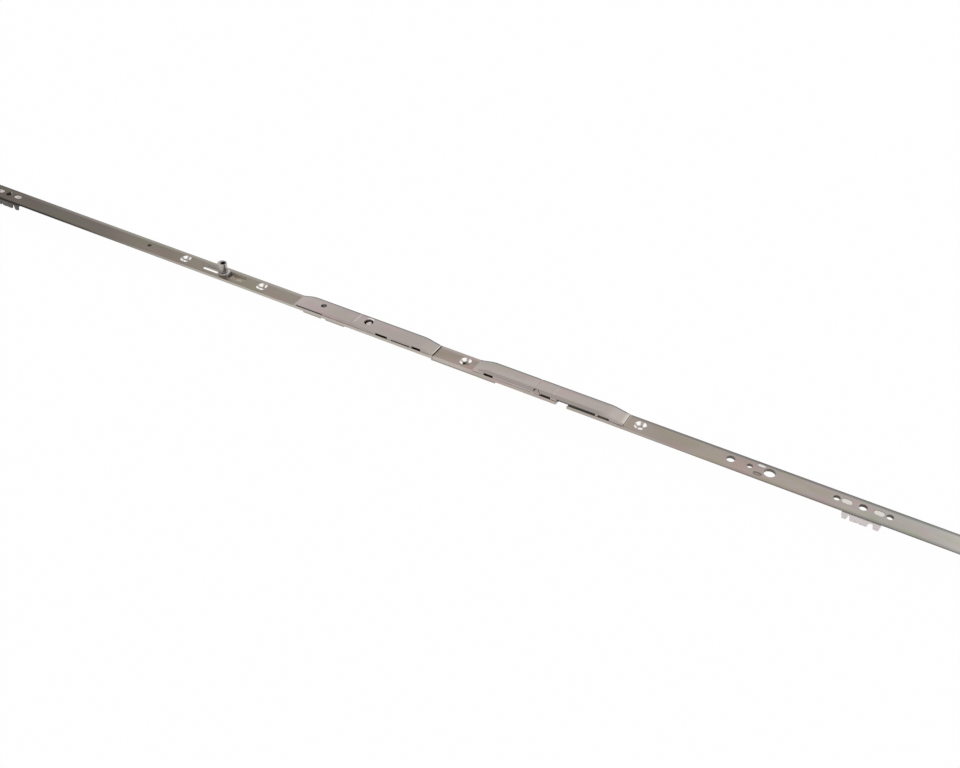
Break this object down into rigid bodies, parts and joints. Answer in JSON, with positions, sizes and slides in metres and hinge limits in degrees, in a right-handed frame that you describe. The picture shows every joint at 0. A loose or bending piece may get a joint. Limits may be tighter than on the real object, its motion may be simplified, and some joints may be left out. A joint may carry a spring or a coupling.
{
  "type": "window espagnolette",
  "caption": "Long flat espagnolette with a hinged lever, two drive rods, a reversing pinion and a locking roller cam.",
  "frame": {"origin": "on the axis of the middle screw hole, in the plane of the faceplate's back, which seats on the groove's shoulders", "axes": "+X along the faceplate towards the lever's free end and the second plastic clip, +Y across it, +Z out of the faceplate's front"},
  "size_m": [1, 0.016, 0.0207],
  "materials": {
    "faceplate_zinc": "zinc plated, olive-yellow passivated, satin",
    "rod_zinc": "zinc plated, satin",
    "cover_steel": "pressed sheet, satin, pinkish grey plating",
    "machined_steel": "bright zinc plated",
    "cam_steel": "turned, plain grey plating",
    "spring_steel": "spring temper, dull",
    "grey_plastic": "moulded, matt",
    "natural_plastic": "moulded, natural white, slightly translucent"
  },
  "bodies": {
    "frame": {"faceplate": "faceplate_zinc", "hinge_cover": "cover_steel", "left_cover": "cover_steel", "right_cover": "cover_steel", "hinge_pin": "machined_steel", "pinion_axle": "machined_steel", "pinion_washer": "machined_steel", "stop_pin": "machined_steel", "left_rod_guide": "faceplate_zinc", "pinion_rod_guide": "faceplate_zinc", "middle_rod_guide": "faceplate_zinc", "rack_case": "faceplate_zinc", "guide_buttons": "machined_steel", "lever_catch": "spring_steel", "catch_stud": "machined_steel", "left_clip": "grey_plastic", "right_clip": "natural_plastic"},
    "left_rod": {"left_drive_rod": "rod_zinc", "rack_bar": "machined_steel", "rack_rivets": "machined_steel", "cam_base": "cam_steel"},
    "right_rod": {"right_drive_rod": "rod_zinc"},
    "lever": {"lever": "cover_steel", "lever_sector": "machined_steel", "lever_lug": "machined_steel"},
    "pinion": {"pinion": "machined_steel"},
    "cam": {"cam_bolt": "cam_steel"},
    "roller": {"cam_roller": "cam_steel"}
  },
  "joints": [
    {"name": "lever_hinge", "type": "hinge", "parent": "frame", "child": "lever", "pos_m": [0.0654, 0, 0.0039], "axis": [0, -1, 0], "range_deg": [0, 88]},
    {"name": "left_rod_slide", "type": "slide", "parent": "frame", "child": "left_rod", "axis": [1, 0, 0], "range_m": [0, 0.0139]},
    {"name": "right_rod_slide", "type": "slide", "parent": "frame", "child": "right_rod", "axis": [-1, 0, 0], "range_m": [0, 0.0139]},
    {"name": "pinion_spin", "type": "hinge", "parent": "frame", "child": "pinion", "pos_m": [-0.09, 0, -0.00125], "axis": [0, 0, -1], "range_deg": [0, 265]},
    {"name": "cam_adjust", "type": "hinge", "parent": "left_rod", "child": "cam", "pos_m": [-0.238, 0, 0.003], "axis": [0, 0, 1], "continuous": true},
    {"name": "roller_spin", "type": "hinge", "parent": "cam", "child": "roller", "pos_m": [-0.2392, 0, 0.007], "axis": [0, 0, 1], "continuous": true}
  ],
  "couplings": [
    {"joint": "left_rod_slide", "follows": "lever_hinge", "m_per_rad": 0.009},
    {"joint": "right_rod_slide", "follows": "lever_hinge", "m_per_rad": 0.009},
    {"joint": "pinion_spin", "follows": "lever_hinge", "ratio": 3}
  ]
}
